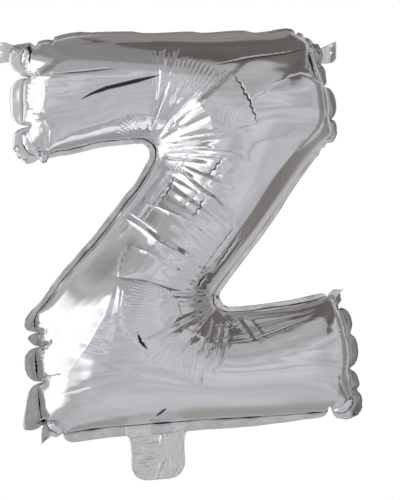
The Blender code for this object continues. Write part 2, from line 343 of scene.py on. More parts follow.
def filled(flat, x, faces, sheet, steps, sweeps, push, damping, margin_stiff, film_stiff, slack):
    """The film moved step by step under the gas until it is taut."""
    count = len(flat)
    edges = np.unique(sides_of(faces), axis=0)
    e0, e1 = edges.T
    rest = gathered(np.linalg.norm(flat[e0] - flat[e1], axis=1), flat, edges)
    on_film = np.zeros(count, dtype=bool)
    on_film[faces[sheet < 2]] = True
    on_margin = np.zeros(count, dtype=bool)
    on_margin[faces[sheet == 2]] = True
    give = np.where(on_margin[edges].all(axis=1), margin_stiff, film_stiff)
    give = np.where(np.linalg.norm(x[e0] - x[e1], axis=1) < slack * rest, 0.0, give)
    threads = [(e0[g], e1[g], rest[g], give[g]) for g in apart(edges, count)]
    stand = across_weld(faces, sheet, count)
    reach = np.linalg.norm(flat[stand[:, 0]] - flat[stand[:, 1]], axis=1) * STAND_OFF
    standing = [(stand[g, 0], stand[g, 1], reach[g]) for g in apart(stand, count)]
    film = faces[sheet < 2]
    corner = film.T.ravel()
    a, b, c = (flat[faces[:, k]] for k in range(3))
    doubled = (b - a)[:, 0] * (c - a)[:, 1] - (b - a)[:, 1] * (c - a)[:, 0]
    area = sum(np.bincount(faces[:, k], np.abs(doubled) / 6, count) for k in range(3))[:, None]
    sides, times = np.unique(sides_of(faces), axis=0, return_counts=True)
    held = on_film & on_margin
    held[sides[times == 1]] = True
    ends = np.concatenate([e0, e1])
    around = np.bincount(ends, minlength=count)[:, None]

    def bent(f):
        step = f[e1] - f[e0]
        return summed(ends, np.concatenate([step, -step]), count) / around

    speed = np.zeros_like(x)
    for step in range(steps):
        a, b, c = (x[film[:, k]] for k in range(3))
        face = np.cross(b - a, c - a) / 6
        speed += summed(corner, np.tile(face, (3, 1)), count) / area * push
        before = x.copy()
        x = x + speed
        bend = bent(x)
        bend[held] = 0
        x -= BEND_STIFF * np.where(held[:, None], 0, bent(bend))
        for _ in range(sweeps):
            for i, j, length, soft in threads:
                d = x[j] - x[i]
                now = np.sqrt((d * d).sum(1))
                share = np.where(now > length, 0.5, 0.5 * soft)
                d *= (share * (now - length) / now)[:, None]
                x[i] += d
                x[j] -= d
            for i, j, length in standing:
                d = x[j] - x[i]
                now = np.sqrt((d * d).sum(1))
                d *= (STAND_FIRM * np.minimum(now - length, 0) / np.maximum(now, 1e-9))[:, None]
                x[i] += d
        speed = (x - before) * damping
    return x


def hung(x, weld_at):
    """The shape turned and shifted in its plane, then bent a few millimetres, to where its corners hang."""
    here = x[weld_at][:, [0, 2]]
    there = np.array(HUNG + tuple(place for _, place in BETWEEN))
    u = here - here.mean(axis=0)
    v = there - there.mean(axis=0)
    angle = math.atan2((u[:, 0] * v[:, 1] - u[:, 1] * v[:, 0]).sum(), (u * v).sum())
    cos, sin = math.cos(angle), math.sin(angle)
    turn = np.array(((cos, sin), (-sin, cos)))
    plan = (x[:, [0, 2]] - here.mean(axis=0)) @ turn + there.mean(axis=0)
    here = u @ turn + there.mean(axis=0)
    plan += bent_by(here, there - here, plan)
    return np.stack([plan[:, 0], x[:, 1] - x[weld_at][:, 1].mean(), plan[:, 1]], axis=1)


def bent_by(spots, moves, points):
    """How far points move when a thin sheet bends so that some spots of it make given moves."""

    def sag(p):
        gap = ((p[:, None] - spots) ** 2).sum(axis=2) * 1e4
        return gap * np.log(gap + 1e-9)

    level = np.hstack([np.ones((len(spots), 1)), spots * 10])
    system = np.block([[sag(spots), level], [level.T, np.zeros((3, 3))]])
    weights = np.linalg.solve(system, np.vstack([moves, np.zeros((3, 2))]))
    return np.hstack([sag(points), np.ones((len(points), 1)), points * 10]) @ weights


flat, faces, sheet, weld_count = laid_out()
guided = [row[:2] for row in PATTERN] + [spot for spot, _ in BETWEEN]
weld_at = [int(np.argmin(np.linalg.norm(flat[:weld_count] - spot, axis=1))) for spot in guided]
swell = FIRST_SWELL * to_line([Vector(p) for p in flat[:weld_count]], [tuple(p) for p in flat])
away = np.zeros(len(flat))
for which, direction in ((0, -1), (1, 1), (2, 0)):
    away[faces[sheet == which]] = direction
shape = np.stack([flat[:, 0], away * swell, flat[:, 1]], axis=1)
jitter = np.random.default_rng(5)
# Steps, sweeps, push, damping, stiffness of the margin and of the film, slack let be, unevenness.
STAGES = (
    (220, 6, 0.0003, 0.95, 0.0, 0.0, 0.0, 0.0002),
    (90, 6, 0.00008, 0.95, 1.0, 0.0, 0.0, 0.0001),
    (40, 6, 0.00002, 0.90, 1.0, 1.0, 0.7, 0.0001),
)
for k, (steps, sweeps, push, damping, margin_stiff, film_stiff, slack, uneven) in enumerate(STAGES):
    if k:
        flat, shape, faces, sheet = cut_in_four(flat, shape, faces, sheet)
    shape += jitter.normal(0, uneven, shape.shape)
    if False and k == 2:
        break
    shape = filled(flat, shape, faces, sheet, steps, sweeps, push, damping, margin_stiff, film_stiff, slack)
shape = hung(shape, weld_at)


# The creases. Where the weld gathers, the film is drawn in and puffs up on both sides; each
# corner is pinched off as an ear; and the film keeps the folds that it was packed with, most
# of all down the diagonal, where pleats fan out from the two inner corners.
# An ear's valley: a side and the distance along it where it starts, the same where it ends,
# its depth and half width, in millimetres.
EAR_VALLEYS = (
    (14, -26, 0, 18, 3.0, 3.0),
    (3, -22, 4, 22, 2.5, 3.0),
    (7, -20, 8, 16, 4.0, 2.4),
    (8, -26, 9, 28, 3.5, 3.0),
    (9, -22, 10, 22, 2.5, 3.0),
    (13, -22, 14, 30, 3.0, 3.2),
)
# The eye that the creases below are laid out for, which is where the camera stands.
EYE = np.array((-0.2996, -1.7704, 0.0076))
# A crease: its height above the film, its half width, how ragged it is, and the points that
# it passes, as x and z on the weld's plane as that eye sees them. All in millimetres.
CREASES = (
    # Across the diagonal.
    (1.40, 1.3, 0.2, (-12, 50), (-9, 48), (14, 28), (26, 21), (41, 7)),
    (-1.20, 1.1, 0.2, (-8, 52), (2, 42), (17, 30), (30, 22)),
    (1.30, 1.3, 0.2, (-54, 5), (-37, -6), (-23, -18), (-6, -26), (11, -38)),
    (-1.00, 1.1, 0.2, (-52, 9), (-40, 1), (-24, -11)),
    (0.70, 1.2, 0.3, (-35, 17), (-25, 14), (-10, 8), (8, 0), (17, -14)),
    (1.00, 1.3, 0.3, (-4, 68), (7, 66), (17, 67), (41, 62), (58, 54)),
    (-0.50, 1.3, 0.3, (-2, 63), (16, 61), (40, 57)),
    (0.35, 1.6, 0.3, (-48, -20), (-30, -27), (-12, -36), (2, -50)),
    # The facets between them.
    (1.10, 7.0, 0.0, (-14, 52), (14, 28), (44, 4)),
    (1.10, 7.0, 0.0, (-56, 6), (-23, -18), (14, -40)),
    (0.90, 6.0, 0.0, (-8, 68), (17, 67), (62, 53)),
    (-0.90, 6.0, 0.0, (-62, -47), (-38, -49), (-16, -56), (16, -66)),
    # Along the diagonal.
    (0.90, 1.3, 0.1, (-19, 52), (-37, 26), (-55, 3), (-66, -12)),
    (-0.60, 1.2, 0.4, (-7, 38), (-18, 27), (-29, 16), (-44, -4)),
    (-0.70, 1.0, 0.4, (4, 62), (-6, 49)),
    (0.50, 1.4, 0.4, (29, 48), (20, 31)),
    (-0.80, 1.0, 0.8, (9, 24), (-3, 15)),
    (-0.70, 1.2, 0.5, (42, 7), (42, -7), (30, -22), (17, -40)),
    (0.70, 1.4, 0.5, (-50, -18), (-57, -30), (-60, -47)),
    # Round the lower inner corner.
    (-0.90, 1.2, 0.1, (-61, -47), (-38, -49), (-16, -56), (16, -63)),
    (0.60, 1.4, 0.6, (-54, -50), (-57, -74), (-55, -90), (-46, -106), (-32, -115)),
    (0.80, 1.6, 0.1, (-16, -57), (-9, -68), (-4, -84)),
    (1.10, 1.3, 0.1, (19, -75), (-4, -85), (-23, -97), (-42, -105)),
    (-0.80, 1.2, 0.1, (16, -80), (-6, -92), (-27, -108)),
    (0.60, 1.3, 0.1, (12, -84), (-10, -101), (-22, -114)),
    (0.90, 1.2, 0.3, (-4, -92), (16, -101)),
    (1.00, 1.4, 0.1, (23, -83), (17, -101), (15, -119), (12, -149)),
    (-0.80, 1.2, 0.1, (26, -84), (21, -104), (20, -128)),
    (0.50, 1.4, 0.2, (8, -96), (0, -113), (-6, -124)),
    # The pleats' ragged rim and the facet inside it.
    (6.00, 20.0, 0.0, (27, 78), (23, 94), (10, 109)),
    (0.90, 1.4, 0.1, (9, 114), (-7, 96), (-18, 79)),
    (0.80, 1.4, 0.1, (57, 86), (30, 78), (5, 75), (-12, 71)),
    # The top arm.
    (1.00, 1.5, 0.2, (-17, 154), (-20, 140), (-23, 118), (-26, 91)),
    (0.60, 1.3, 0.2, (-4, 155), (-12, 136), (-16, 122)),
    (0.50, 1.0, 0.0, (-122, 154), (-75, 156.5), (-25, 158.5)),
    (-0.70, 2.2, 0.0, (111, 156), (111, 138), (121, 124)),
    (0.80, 2.2, 0.0, (52, 104), (61, 113), (79, 124), (102, 131), (121, 127)),
    # The lower arm and the lower left.
    (0.80, 1.4, 0.4, (45, -84), (54, -95), (62, -108)),
    (-0.70, 1.2, 0.4, (50, -83), (58, -94), (66, -106)),
    (0.60, 1.3, 0.4, (56, -84), (64, -93), (72, -104)),
    (-0.60, 1.3, 1.0, (24, -90), (45, -90)),
    (-0.80, 2.6, 0.0, (19, -104), (50, -100), (98, -87), (118, -79)),
    (0.50, 3.0, 0.0, (-62, -52), (-71, -80), (-87, -108), (-104, -130)),
    (-0.45, 3.0, 0.0, (-60, -52), (-67, -84), (-79, -114)),
    (0.40, 2.6, 0.0, (-58, -52), (-62, -90), (-68, -118)),
    (-0.70, 2.4, 0.0, (-115, -150), (-90, -144), (-66, -138), (-40, -132), (-14, -137), (12, -144)),
    (0.45, 3.0, 0.0, (18, -151), (69, -155), (126, -153)),
    # The puffed ends.
    (4.50, 14.0, 0.0, (-131, 134), (-124, 122), (-122, 113), (-124, 101), (-131, 91)),
    (-0.80, 1.5, 0.0, (-139, 136), (-129, 129), (-124, 119), (-124, 109), (-128, 98), (-138, 90)),
    (-1.80, 2.0, 0.0, (-138, 90), (-126, 88), (-121, 80), (-121, 62)),
    (-1.60, 1.8, 0.0, (-137, -104), (-125, -104), (-118, -102)),
    (-1.60, 1.8, 0.0, (-132, -133), (-122, -134), (-108, -132)),
    (-1.60, 1.6, 0.0, (110, 154), (113, 142), (119, 131), (126, 126)),
    (-1.20, 1.8, 0.0, (75, 118), (93, 129), (104, 132), (124, 126), (128, 96), (120, 82), (103, 66)),
)
# Short wrinkles side by side across a puffed end: x and z of the first, the step to the next,
# how many, and how long they are, in millimetres.
WRINKLES = (
    (-142, 95, 0, 4.1, 10, 13),
    (-134, -130, -0.2, 3.7, 7, 12),
    (-134, -98, 0, 3.2, 4, 10),
    (141, -127, -0.3, 3.6, 10, 6),
)
CREASES += tuple(
    (0.7, 0.9, 0.0, (x + k * aside, z + k * up), (x + k * aside + reach, z + k * up + 1))
    for x, z, aside, up, count, reach in WRINKLES
    for k in range(count)
)
# Sharp folds, each with a dark line of painted shade along it: how deep, the half width of the
# fold and of the painted shade in it, how ragged, and the points, as above.
FOLDS = (
    (1.6, 2.8, 1.9, 0.0, (-94, 107), (-83, 113), (-70, 118), (-54, 122), (-22, 130)),
    (0.5, 1.2, 0.6, 0.0, (-119, 129), (-90, 132), (-57, 136)),
    (0.8, 1.5, 0.8, 0.2, (25, 139), (57, 145.5), (85, 149.5), (112, 155)),
    (0.9, 1.5, 0.9, 0.1, (111, 155), (113, 146), (118, 132), (124, 125)),
    (1.5, 1.5, 0.9, 1.3, (41, 133), (50, 121), (58, 106), (65, 85)),
    (1.0, 1.3, 0.8, 1.5, (34, 58), (26, 49), (18, 41)),
    (1.0, 1.3, 0.7, 1.5, (19, 25), (12, 14), (5, 4)),
    (1.0, 1.3, 0.7, 1.5, (-9, 42), (-16, 29), (-23, 16)),
    (1.0, 1.4, 0.7, 0.8, (51, -5), (38, -24), (25, -43)),
    (1.0, 1.4, 1.0, 1.0, (19, -44), (9, -58)),
    (1.6, 1.8, 1.5, 0.3, (-43, -96), (-40, -104), (-34, -111)),
    (0.8, 2.0, 1.6, 0.0, (-139, 160), (-138, 150), (-137, 138)),
    (0.6, 1.5, 1.2, 0.0, (-27, -170), (-17, -163)),
    (0.8, 1.4, 0.6, 0.4, (33, -107), (60, -104), (92, -92), (120, -81)),
    (0.6, 1.2, 0.5, 1.2, (24, -89), (38, -92), (52, -89)),
)
# Pleats that fan out of an inner corner: the corner, the bearings between which they lie (0 is
# to the right, 90 up), how far out they start and end, how many and how high they are.
FANS = (
    (-24, 68, 10, 50, 56, 93, 26, 1.00),
    (-24, 68, 46, 96, 40, 88, 17, 0.55),
    (-24, 68, 92, 170, 14, 46, 18, 0.45),
    (-24, 68, -60, 6, 12, 40, 14, 0.50),
    (22, -75, 158, 206, 44, 80, 21, 0.95),
    (22, -75, 204, 268, 30, 78, 16, 0.60),
    (22, -75, 268, 330, 12, 34, 9, 0.40),
)


def smooth_normals(points, faces):
    """The unit normal of each point."""
    a, b, c = (points[faces[:, k]] for k in range(3))
    face = np.cross(b - a, c - a)
    total = sum(summed(faces[:, k], face, len(points)) for k in range(3))
    return total / np.maximum(np.linalg.norm(total, axis=1), 1e-12)[:, None]


def cut_where(busy, flat, shape, faces, sheet):
    """The net cut finer where both ends of a side are busy, its new points put on the curved film."""
    normal = smooth_normals(shape, faces[sheet < 2])
    unique, which = np.unique(sides_of(faces), axis=0, return_inverse=True)
    split = busy[unique].all(axis=1)
    number = np.full(len(unique), -1)
    number[split] = len(flat) + np.arange(split.sum())
    a, b = unique[split].T
    along = shape[b] - shape[a]
    lift = (along * normal[a]).sum(1)[:, None] * normal[a] - (along * normal[b]).sum(1)[:, None] * normal[b]
    flat = np.vstack([flat, (flat[a] + flat[b]) / 2])
    shape = np.vstack([shape, (shape[a] + shape[b]) / 2 - lift / 8])
    middle = number[which.reshape(3, -1)]
    cut, owner = [], []
    kept = (middle < 0).all(axis=0)
    cut.append(faces[kept])
    owner.append(sheet[kept])
    whole = (middle >= 0).all(axis=0)
    a, b, c = faces[whole].T
    ab, bc, ca = middle[:, whole]
    for t in ((a, ab, ca), (ab, b, bc), (ca, bc, c), (ab, bc, ca)):
        cut.append(np.stack(t, axis=1))
        owner.append(sheet[whole])
    for k in range(3):
        halved = ~kept & ~whole & (middle[k] >= 0)
        a, b, c = (faces[halved, (k + turn) % 3] for turn in range(3))
        for t in ((a, middle[k][halved], c), (middle[k][halved], b, c)):
            cut.append(np.stack(t, axis=1))
            owner.append(sheet[halved])
    return flat, shape, np.vstack(cut), np.concatenate(owner)


def from_path(points, path):
    """How far points lie to either hand of an open path, how far along it, and how long it is."""
    nearest = np.full(len(points), 1.0)
    hand = np.ones(len(points))
    along = np.zeros(len(points))
    run = 0.0
    for p, q in zip(path, path[1:]):
        p, q = np.array(p), np.array(q)
        edge = q - p
        share = np.clip((points - p) @ edge / (edge @ edge), 0, 1)
        gap = np.linalg.norm(points - p - share[:, None] * edge, axis=1)
        closer = gap < nearest
        nearest = np.where(closer, gap, nearest)
        over = edge[0] * (points[:, 1] - p[1]) - edge[1] * (points[:, 0] - p[0])
        hand = np.where(closer, np.where(over < 0, -1.0, 1.0), hand)
        along = np.where(closer, run + share * np.linalg.norm(edge), along)
        run += np.linalg.norm(edge)
    return nearest * hand, along, run


def seen(points):
    """Where points of either film show on the weld's plane to an eye in front, a little to the left."""
    out = EYE[1] / (EYE[1] + np.abs(points[:, 1]))
    return EYE[[0, 2]] + (points[:, [0, 2]] - EYE[[0, 2]]) * out[:, None]


# A ragged crease swings to and fro in two zigzags at once: their lengths, and the second one's share.
ZIGZAGS = (0.0031, 0.0071)
SECOND_ZIGZAG = 0.6
# Over what share of its length a crease fades out at each end, and what is left of it at the tip.
CREASE_FADE = 0.18
CREASE_TIP = 0.15
FOLD_FADE = 0.3
# Within how many half widths of a crease the net is cut finer.
FINE_WITHIN = 2.2
# How much shorter than the fan its shortest pleat is, and over what length each ends, in
# millimetres, and over what share of the fan's depth they rise.
PLEAT_UNEVEN = 9
PLEAT_END = 4
PLEAT_START = 0.35
# How deep the film is drawn in at a gather, how far into the letter that fades, and how high
# and how wide the small star of creases is round it.
DRAWN_IN = 0.0065
DRAWN_REACH = 0.011
STAR = 0.0002
STAR_REACH = 0.009
# How high the film's fine waves are.
WAVES = 0.00010


def along_ragged(plan, path, ragged):
    """How far points lie from a crease that zigzags along a path, how far along it, and its length."""
    gap, along, run = from_path(plan, [(x / 1000, z / 1000) for x, z in path])
    first, second = (np.abs((along / length) % 2 - 1) - 0.5 for length in ZIGZAGS)
    return np.abs(gap - ragged * 0.001 * (first + SECOND_ZIGZAG * second)), along, run


def raise_creases(plan, height, busy):
    """Adds the creases, each a ridge or a valley that fades out at both ends."""
    for rise, half, ragged, *path in CREASES:
        gap, along, run = along_ragged(plan, path, ragged)
        fade = np.clip(np.minimum(along, run - along) / (CREASE_FADE * run), 0.0, 1)
        rise = rise / 1000 * (fade * fade * (3 - 2 * fade) * (1 - CREASE_TIP) + CREASE_TIP)
        height += rise * np.exp(-gap / (half / 1000))
        np.minimum(busy, gap / (FINE_WITHIN * min(half, 2.6) / 1000), out=busy)


def press_folds(plan, height, busy, fold_shade):
    """Presses the sharp folds in, and paints shade along their bottoms."""
    for deep, half, dark, ragged, *path in FOLDS:
        gap, along, run = along_ragged(plan, path, ragged)
        fade = np.clip(np.minimum(along, run - along) / (FOLD_FADE * run), 0.02, 1)
        height -= deep / 1000 * np.maximum(fade - gap / (half / 1000), 0)
        # Painted shade: a dark line along the bottom of each fold, narrower towards its ends.
        np.maximum(fold_shade, np.clip((dark * fade ** 0.6 - gap * 1000) / 0.4, 0, 1), out=fold_shade)
        np.minimum(busy, gap / (FINE_WITHIN * half / 1000), out=busy)


def fan_pleats(plan, height, busy):
    """Adds the pleats that fan out of the inner corners, each as high and as long as it happens to be."""
    for x, z, low, high, inner, outer, count, rise in FANS:
        d = (plan - (x / 1000, z / 1000)) * 1000
        far = np.linalg.norm(d, axis=1)
        bearing = np.degrees(np.arctan2(d[:, 1], d[:, 0]))
        turn = ((bearing - low) % 360) / (high - low)
        k = turn * count
        uneven = np.sin(np.floor(k) * 12.9898 + x) * 43758.5453
        uneven = uneven - np.floor(uneven)
        into = np.clip((far - inner) / (PLEAT_START * (outer - inner)), 0, 1)
        out = np.clip((outer - PLEAT_UNEVEN * uneven - far) / PLEAT_END, 0, 1)
        sides = np.clip(np.minimum(turn, 1 - turn) * count, 0, 1)
        inside = (turn > 0) & (turn < 1)
        pleat = np.sqrt(np.abs(np.sin(np.pi * k))) - 0.64
        height += np.where(inside, rise / 1000 * (0.6 + 0.8 * uneven) * pleat * into * out * sides, 0)
        near = inside & (far > inner - 2) & (far < outer + 2)
        busy[near] = np.minimum(busy[near], 0.95)


def fine_waves(plan):
    """The film's fine waves, level on the arms and slanting on the diagonal."""
    x, z = plan.T * 1000
    arm = z + 0.06 * x
    slant = 0.76 * x - 0.65 * z
    in_arm = np.clip((np.abs(z) - 62) / 30, 0, 1)
    long_waves = np.sin(arm / 4.1 + 1.3 * np.sin(x / 47)) + 0.7 * np.sin(arm / 2.3 + 2 * np.sin(x / 31 + 1))
    long_waves += 0.5 * np.sin(arm / 1.1 + 2.6 * np.sin(x / 37 + 2)) * np.sin(x / 53 + arm / 17)
    slant_waves = np.sin(slant / 4.7 + 1.1 * np.sin(arm / 43))
    slant_waves += 0.6 * np.sin(slant / 2.6 + 1.7 * np.sin(arm / 29))
    slant_waves += 0.5 * np.sin(slant / 1.2 + 2 * np.sin(arm / 31)) * np.sin(arm / 23 + slant / 19)
    return WAVES * (in_arm * long_waves + (1 - in_arm) * slant_waves)


def pinch_ears(flat, height, busy):
    """Presses in the valley that pinches each ear off."""
    for side, start, other, end, depth, half in EAR_VALLEYS:
        gap, _, _ = from_path(flat, [on_side(side, start / 1000)[0], on_side(other, end / 1000)[0]])
        height -= depth / 1000 * np.exp(-((gap / (half / 1000)) ** 2))
        np.minimum(busy, np.abs(gap) / (2.0 * half / 1000), out=busy)


def draw_in(flat, height, busy):
    """Draws the film in at each gather of the weld, with a small star of creases round it."""
    for side, distance, share in GATHERS:
        spot, sideways, inwards = on_side(side, distance)
        s = (flat - spot) @ sideways
        d = np.maximum((flat - spot) @ inwards, 0)
        near = np.linalg.norm(flat - spot, axis=1)
        width = 0.0034 + 0.35 * d
        height -= DRAWN_IN * share * np.exp(-((s / width) ** 2) - d / DRAWN_REACH)
        height += STAR * (np.sin(np.arctan2(s, d + 0.002) * 9 + side) * np.exp(-near / STAR_REACH))
        np.minimum(busy, near / (2 * STAR_REACH), out=busy)


def relief(shape, flat, film):
    """Each point's height above the smooth film in metres, how busy it is there, and its painted shade."""
    plan = seen(shape)
    height = np.zeros(len(shape))
    busy = np.full(len(shape), 1.0)
    fold_shade = np.zeros(len(shape))
    raise_creases(plan, height, busy)
    press_folds(plan, height, busy, fold_shade)
    fan_pleats(plan, height, busy)
    height += fine_waves(plan)
    pinch_ears(flat, height, busy)
    draw_in(flat, height, busy)
    return np.where(film, height, 0), np.where(film, busy, 1.0), np.where(film, fold_shade, 0)


def film_points():
    """Which points are on the films, their weld included."""
    mark = np.zeros(len(flat), dtype=bool)
    mark[faces[sheet < 2]] = True
    return mark


for reach in (1.0, 0.5):
    busy = relief(shape, flat, film_points())[1] < reach
    flat, shape, faces, sheet = cut_where(busy, flat, shape, faces, sheet)
film = film_points()
height, _, fold_shade = relief(shape, flat, film)
smooth = shape
shape = smooth + smooth_normals(smooth, faces[sheet < 2]) * height[:, None]

# The two films. Each is nylon of a few hundredths of a millimetre, silvered on one side, so it
# is a mirror that every crease breaks up. With the gas between them they are one soft pad, and
# it is filled tight.
FILM_THICK = 0.0003
FILM_TINT = (0.80, 0.80, 0.815)
# Painted shade: the dark tint that the silver is darkened towards in its folds and on the margin.
PAINTED_SHADE_TINT = (0.06, 0.055, 0.055, 1)
# How many rolled streaks a metre has along the pattern and across it.
STREAKS = (60, 900, 1)
# How much the streaks change the film's dullness, and its patches its brightness.
STREAK_RANGE = (0.7, 1.3)
PATCH_DIM = 0.96


def feed(node, values):
    """A shader node with some of its sockets given a value, or another node's result."""
    for name, value in values.items():
        if isinstance(value, bpy.types.NodeSocket):
            node.id_data.links.new(value, node.inputs[name])
        else:
            node.inputs[name].default_value = value
    return node


def silver(name, tint, roughness, crinkle):
    """The finish of silvered film: a mirror with rolled streaks, a fine crinkle and painted shade."""
    material = bpy.data.materials.new(name)
    material.use_nodes = True
    nodes = material.node_tree.nodes
    pattern = nodes.new("ShaderNodeUVMap")
    pattern.uv_map = "pattern"
    place = pattern.outputs["UV"]
    streaks = feed(nodes.new("ShaderNodeMapping"), {"Vector": place, "Scale": STREAKS}).outputs["Vector"]
    rolled = feed(nodes.new("ShaderNodeTexNoise"), {"Vector": streaks, "Scale": 1, "Detail": 3})
    low, high = (roughness * share for share in STREAK_RANGE)
    spread = {"From Min": 0.3, "From Max": 0.7, "To Min": low, "To Max": high}
    dull = feed(nodes.new("ShaderNodeMapRange"), {"Value": rolled.outputs["Fac"], **spread})
    patches = feed(nodes.new("ShaderNodeTexNoise"), {"Vector": place, "Scale": 28, "Detail": 4})
    colour = feed(nodes.new("ShaderNodeValToRGB"), {"Fac": patches.outputs["Fac"]})
    dim, bright = colour.color_ramp.elements
    dim.position = 0.35
    dim.color = (*(c * PATCH_DIM for c in tint), 1)
    bright.position = 0.65
    bright.color = (*tint, 1)
    # Painted shade: the colour goes dark as far as each point's attribute says.
    painted_shade = nodes.new("ShaderNodeAttribute")
    painted_shade.attribute_name = "painted_shade"
    shaded = nodes.new("ShaderNodeMix")
    shaded.data_type = "RGBA"
    feed(shaded, {"Factor": painted_shade.outputs["Fac"], "A": colour.outputs["Color"], "B": PAINTED_SHADE_TINT})
    fine = feed(nodes.new("ShaderNodeTexNoise"), {"Vector": place, "Scale": 260, "Detail": 2})
    bump = feed(nodes.new("ShaderNodeBump"), {"Height": fine.outputs["Fac"], "Distance": crinkle})
    feed(nodes["Principled BSDF"], {
        "Metallic": 1.0,
        "Base Color": shaded.outputs["Result"],
        "Roughness": dull.outputs["Result"],
        "Normal": bump.outputs["Normal"],
    })
    return material


def walled(name, mesh, thick, offset):
    """A sheet with its wall, as a plain closed mesh."""
    piece = bpy.data.objects.new(name, mesh)
    bpy.context.scene.collection.objects.link(piece)
    wall = piece.modifiers.new("wall", "SOLIDIFY")
    wall.thickness = thick
    wall.offset = offset
    baked = bpy.data.meshes.new_from_object(piece.evaluated_get(bpy.context.evaluated_depsgraph_get()))
    piece.modifiers.clear()
    piece.data = baked
    baked.name = name
    return piece


def sheet_piece(name, which, thick, material, shaded):
    """One sheet of the balloon as a thin closed shell, its UV map the flat pattern in metres."""
    used, again = np.unique(faces[sheet == which], return_inverse=True)
    again = again.reshape(-1, 3)
    mesh = bpy.data.meshes.new(name)
    mesh.from_pydata(shape[used].tolist(), [], again.tolist())
    uv = mesh.uv_layers.new(name="pattern")
    uv.data.foreach_set("uv", flat[used][again.ravel()].astype(np.float32).ravel())
    # Painted shade: how far each point of the sheet is darkened.
    painted_shade = mesh.attributes.new("painted_shade", "FLOAT", "POINT")
    painted_shade.data.foreach_set("value", shaded[used].astype(np.float32))
    mesh.shade_smooth()
    mesh.materials.append(material)
    return walled(name, mesh, thick, -1)


silver_film = silver("silver_film_finish", FILM_TINT, 0.09, 0.000004)
for which, (name, node) in enumerate((("film_front", "front_film"), ("film_back", "back_film"))):
    piece = sheet_piece(name, which, FILM_THICK, silver_film, fold_shade)
    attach(piece, "root")
    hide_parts(node)

# The seam margin. Outside the weld both films are fused by a hot bar and trimmed by a die, so
# the margin is thicker and duller than the film. It is drawn in at each gather, stands out in a
# scallop between two of them, and is folded back along the top and at the right ends.
MARGIN_THICK = 0.0004
MARGIN_TINT = (0.80, 0.79, 0.80)
# How far it is folded back, in degrees, by the letter's side. Below 0 it comes forward.
FOLDED_BACK = {0: 55, 1: 72, 2: 72, 3: 60, 4: 48, 8: 42, 14: 20, 10: -12}
# How far painted shade darkens its silver there.
MARGIN_SHADE = {3: 0.2, 4: 0.36, 5: 0.1, 8: 0.42, 9: 0.14, 10: 0.40, 11: 0.18, 12: 0.18, 14: 0.05}
# Flaps of it that reach further or less far: the side, the place along it and the half width in
# millimetres, how much longer it is, and how much lower it hangs.
FLAPS = (
    (10, 27, 11, 0.6, -0.8),
    (9, 30, 62, -0.5, 0.0),
    (14, 10, 18, -0.35, 0.0),
    (9, -8, 12, -0.75, 0.0),
)
# How much a full gather narrows it and how far along the weld that shows.
NARROWED = 0.8
NARROWED_REACH = 0.0085
# The weld's direction is taken over this much of it to either hand, and the margin's own
# direction is evened out over this much.
HEADING_REACH = 0.010
EVENED_REACH = 0.005
# Its edge waves out of its plane: how far, over what length of the weld, and where it starts.
FLUTTER = ((0.0010, 0.0105, 0), (0.0007, 0.0043, 1))
# How far out from the weld it waves in full.
FLUTTER_FROM = 0.004


def heading(points, place):
    """The direction of the weld at a place along it, in the plane of the given points."""
    ahead, behind = (
        np.stack([np.interp(place + step, marks, points[line, k], period=around) for k in (0, 1)], axis=1)
        for step in (HEADING_REACH, -HEADING_REACH)
    )
    return (ahead - behind) / np.linalg.norm(ahead - behind, axis=1)[:, None]


in_margin = np.zeros(len(flat), dtype=bool)
in_margin[faces[sheet == 2]] = True
weld = np.flatnonzero(film & in_margin)
loose = np.flatnonzero(in_margin & ~film)
nearest = np.array([weld[np.argmin(((flat[weld] - flat[i]) ** 2).sum(1))] for i in loose])
corners = np.array([row[:2] for row in PATTERN])
lengths = np.linalg.norm(np.roll(corners, -1, axis=0) - corners, axis=1)
ring = [tuple(c) for c in corners] + [tuple(corners[0])]
_, marks, around = from_path(flat[weld], ring)
line = weld[np.argsort(marks)]
marks = np.sort(marks)
_, station, _ = from_path(flat[nearest], ring)
side = np.searchsorted(np.cumsum(lengths), station)
apart_by = np.abs((station[:, None] - station + around / 2) % around - around / 2)
nearby = np.exp(-((apart_by / EVENED_REACH) ** 2))
nearby /= nearby.sum(axis=1)[:, None]


def by_side(table):
    """A table's value for each loose point's side of the letter, evened out along the weld."""
    return nearby @ sum(np.where(side == k, value, 0.0) for k, value in table.items())


# Each loose point keeps its place outside the weld, turned with the weld's own direction.
flat_heading = heading(flat, station)
hung_heading = heading(smooth[:, [0, 2]], station)
offset = flat[loose] - flat[nearest]
ahead = (offset * flat_heading).sum(1)
out = offset[:, 1] * flat_heading[:, 0] - offset[:, 0] * flat_heading[:, 1]
stand = np.zeros((len(loose), 3))
stand[:, 0] = ahead * hung_heading[:, 0] - out * hung_heading[:, 1]
stand[:, 2] = ahead * hung_heading[:, 1] + out * hung_heading[:, 0]
narrow = np.zeros(len(loose))
for gather_side, distance, share in GATHERS:
    away = np.linalg.norm(flat[nearest] - on_side(gather_side, distance)[0], axis=1)
    narrowed = NARROWED * (share / 0.95) ** 0.5
    narrow = np.maximum(narrow, narrowed * np.exp(-((away / NARROWED_REACH) ** 2)))
stand *= 1 - narrow[:, None]
long = np.linalg.norm(stand, axis=1)
fanned = nearby @ (stand / long[:, None])
stand = fanned * (long / np.linalg.norm(fanned, axis=1))[:, None]
back = by_side({k: math.radians(angle) for k, angle in FOLDED_BACK.items()})
stand = stand * np.cos(back)[:, None] + np.outer(long * np.sin(back), (0, 1, 0))
for flap_side, place, half, longer, lower in FLAPS:
    away = np.linalg.norm(flat[nearest] - on_side(flap_side, place / 1000)[0], axis=1) * 1000
    flap = np.where(side == flap_side, np.exp(-((away / half) ** 2)), 0)
    stand *= 1 + longer * flap[:, None]
    stand[:, 2] += lower * long * flap
flutter = sum(rise * np.sin(station / length + start) for rise, length, start in FLUTTER)
